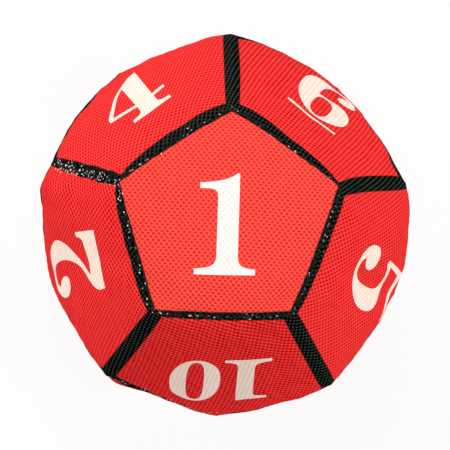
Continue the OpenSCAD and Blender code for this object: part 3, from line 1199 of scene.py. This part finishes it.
def cover_cloth(name, grain, lines, reds):
    finish = Finish(name, Specular_IOR_Level=0.0)
    chequer, streaks, warp, weft = weave(finish, grain, lines, CLOTH_DEPTH)
    band, fleck = finish.attribute("band"), finish.attribute("fleck")
    # The chequer mixes the dark and the light red: painted light on the raised yarns, painted
    # shade in the dips.
    tone = (chequer + streaks * STREAK_TONE - RED_SHIFT).step(*RED_RISE)
    red = finish.blend(tone, *reds)
    cell = finish.node("CombineXYZ", None, {
        "X": (warp * FLECKS_PER_YARN).floor(), "Y": (weft * FLECKS_PER_YARN).floor()})
    chance = finish.node("TexWhiteNoise", {"noise_dimensions": "2D"},
                         {"Vector": cell}, "Value")
    # Painted sheen: grey along the raised yarns of the black band, which is weaker near a
    # seam.
    sheen_lines = chequer.step(*SHEEN_RISE) * (0.4 + streaks * 0.6) * (1 - fleck * 3)
    # Painted glints: grey flecks in the black band beside a seam.
    seam_glints = (chance < fleck * 1.3) * GLINT_SHARE
    black = finish.blend(sheen_lines.larger(seam_glints), INK_DARK, INK_SHEEN)
    ragged = (yarn_noise(finish, warp, weft, RAGGED_SCALE) - 0.5) * fleck * RAGGED_REACH
    edge = band + chequer * 0.16 + streaks * 0.2 - 0.1 + ragged
    printed = edge.step(-INK_EDGE, INK_EDGE)
    lifted = (chance < fleck * fleck * 1.1) * (chequer + 0.5).step(*LIFTED_RISE)
    colour = finish.blend(printed, red, black)
    finish.feed(Base_Color=finish.blend(lifted * LIFTED_SHADE, colour, COTTON))
    finish.feed(Roughness=0.66 - printed * 0.1 - streaks * 0.1)
    return finish.material


cap_cloth = cover_cloth("red_cloth_cap", CAP_GRAIN, CAP_LINES, CAP_REDS_WITH_SHEEN)
strip_cloth = cover_cloth("red_cloth_strip", STRIP_GRAIN, STRIP_LINES, STRIP_REDS)
print("cloth:", cap_cloth.name, strip_cloth.name)

# %% [markdown]
# The numerals are the same cloth left white by the print, so the same weave runs on
# through them, only paler.

# %% White print
CAP_WHITES = paint(243, 239, 234), paint(246, 246, 244)
STRIP_WHITES = paint(250, 212, 197), paint(255, 239, 229)
WHITE_SHIFT, WHITE_RISE = 0.3, (-0.9, 0.4)
PRINT_DEPTH = 0.00022


def white_print(name, grain, lines, whites):
    finish = Finish(name, Specular_IOR_Level=0.0)
    chequer, streaks, warp, weft = weave(finish, grain, lines, PRINT_DEPTH)
    # The chequer mixes the two whites: painted light on the raised yarns, painted shade in
    # the dips.
    tone = (chequer + streaks * STREAK_TONE - WHITE_SHIFT).step(*WHITE_RISE)
    finish.feed(Base_Color=finish.blend(tone, *whites), Roughness=0.9 - streaks * 0.12)
    return finish.material


cap_white = white_print("white_print_cap", CAP_GRAIN, CAP_LINES, CAP_WHITES)
strip_white = white_print("white_print_strip", STRIP_GRAIN, STRIP_LINES, STRIP_WHITES)
print("print:", cap_white.name, strip_white.name)

# %% [markdown]
# The thread is black polyester and twisted, with painted glints in small pale spots. The
# fibre inside is loose white polyester, all lumps and strands.

# %% Thread and fibre
# The pale colour on the thread is painted glints.
THREAD_BLACKS, THREAD_GLINT = (paint(1, 4, 2), paint(36, 42, 38)), paint(196, 190, 180)
FIBRE_WHITES = paint(214, 212, 206), paint(246, 245, 242)


def black_thread():
    finish = Finish("black_thread", Specular_IOR_Level=0.08)
    place = finish.node("TexCoord", output="Object")
    twist = finish.noise(place, 2600.0, Detail=2.0)
    # Painted glints: small pale spots over the thread.
    thread_glint = finish.noise(place, 900.0).step(0.62, 0.66)
    dark = finish.blend(twist.step(0.35, 0.7), *THREAD_BLACKS)
    finish.feed(Base_Color=finish.blend(thread_glint, dark, THREAD_GLINT),
                Roughness=0.4 + twist * 0.25)
    finish.emboss(0.5, 0.0001, twist)
    return finish.material


def white_fibre():
    finish = Finish("white_fibre", Sheen_Weight=0.3)
    place = finish.node("TexCoord", output="Object")
    lumps = finish.noise(place, 160.0, Detail=8.0, Distortion=1.5)
    strands = finish.noise(place, 900.0, Detail=4.0, Distortion=3.0)
    finish.feed(Base_Color=finish.blend(lumps.step(0.3, 0.7), *FIBRE_WHITES),
                Roughness=0.8 + strands * 0.2)
    finish.emboss(0.8, 0.0012, lumps + strands * 0.4)
    return finish.material


thread_finish, fibre_finish = black_thread(), white_fibre()
print("thread and fibre ready")

# %% [markdown]
# ## Putting it together
# Each piece takes the place of its measured solid, rides on the one body that the die
# is, and gets its finish. For the four cloth pieces, the size of the flat cut, with the
# allowance all around, is worked out and printed.

# %% Dress the pieces
def cut_size(panel):
    """Width, length and area of the flat cut, with its allowance."""
    mine = [face for face in faces if face.panel == panel]
    turns = np.radians(range(18, 360, 72))
    corners = FACE_RADIUS * np.stack([np.cos(turns), np.sin(turns)], axis=1)
    flat = np.vstack([face.cloth(corners) for face in mine])
    width, length = flat.max(axis=0) - flat.min(axis=0) + 2 * ALLOWANCE
    border = sum(sum(face.sewn) for face in mine) * EDGE
    return width, length, len(mine) * FACE_AREA + border * ALLOWANCE


def dress(piece, finish, slot, *nodes):
    piece.data.materials.clear()
    piece.data.materials.append(finish)
    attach(piece, "root")
    if nodes:
        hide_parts(*nodes)


for panel, piece in panels.items():
    strip = panel.endswith("strip")
    dress(piece, strip_cloth if strip else cap_cloth, "cover_cloth", panel)
    width, length, area = cut_size(panel)
    print(f"{panel}: cut {width * 1000:.0f} by {length * 1000:.0f} mm, {area * 1e4:.0f} cm2")
for piece, face in zip(numerals, faces):
    dress(piece, cap_white if face.step < 0 else strip_white, "cover_cloth")
for node, piece in rows.items():
    dress(piece, thread_finish, "thread", node)
dress(fibre, fibre_finish, "fibre", "stuffing")

# %% [markdown]
# ## Floor and light
# The die lies on a white table. The table is white for the camera and still takes a soft
# shadow. A large soft lamp stands above it, two more stand left and right, a weak one
# stands in front, and a little even light comes from all around, so that a colour looks
# as it was written.

# %% Floor
FLOOR_GLOW = 0.9
FLOOR_SIZE = 12

bpy.ops.mesh.primitive_plane_add(size=FLOOR_SIZE)
floor = bpy.context.object
floor.name = "floor"
floor_finish = Finish("white_table", Base_Color=paint(244, 244, 244), Roughness=0.9,
                      Specular_IOR_Level=0.1)
sight, mirror, through = (
    floor_finish.node("LightPath", output=f"Is {ray} Ray")
    for ray in ("Camera", "Glossy", "Transmission"))
glow = floor_finish.node("Emission", None, {"Color": (1, 1, 1, 1), "Strength": 1.0})
seen = sight.larger(mirror.larger(through)) * FLOOR_GLOW
body = Wire(floor_finish, floor_finish.shader.outputs[0])
look = floor_finish.node("MixShader", None, {0: seen, 1: body, 2: glow})
floor_finish.tree.links.new(look.socket, floor_finish.surface)
floor.data.materials.append(floor_finish.material)
print("floor ready")

# %% [markdown]
# Each row is a lamp: the direction around and the height in degrees, its watts, its size.

# %% Lamps and surroundings
SKY = 0.18
LAMPS = {"upper_lamp": (92, 54, 21.0, 1.1), "left_lamp": (160, 30, 20.5, 1.0),
         "right_lamp": (352, 26, 20.2, 1.0), "front_lamp": (268, 34, 8.0, 1.0)}
LAMP_DISTANCE = 2.0
LAMP_COLOUR = (1.0, 0.97, 0.93)


def soft_lamp(name, azimuth, elevation, watts, size):
    turn, rise = radians(azimuth), radians(elevation)
    flat = cos(rise)
    way = Vector((flat * cos(turn), flat * sin(turn), sin(rise)))
    place = Vector((0, 0, MIDDLE)) + way * LAMP_DISTANCE
    bpy.ops.object.light_add(type="AREA", location=place)
    lamp = bpy.context.object
    lamp.name = name
    lamp.data.size, lamp.data.energy = size, watts
    lamp.data.color = LAMP_COLOUR
    lamp.rotation_euler = way.to_track_quat("Z", "Y").to_euler()
    print(name, watts, "W")


for name, lamp in LAMPS.items():
    soft_lamp(name, *lamp)
world = bpy.data.worlds.new("even_light")
scene.world = world
world.use_nodes = True
tree = world.node_tree
sky = tree.nodes["Background"]
sky.inputs["Color"].default_value = (1, 1, 1, 1)
path = tree.nodes.new("ShaderNodeLightPath")
spread = tree.nodes.new("ShaderNodeMapRange")
spread.inputs["To Min"].default_value, spread.inputs["To Max"].default_value = 1.0, SKY
tree.links.new(path.outputs["Is Diffuse Ray"], spread.inputs["Value"])
tree.links.new(spread.outputs["Result"], sky.inputs["Strength"])
scene.view_settings.view_transform = "Standard"
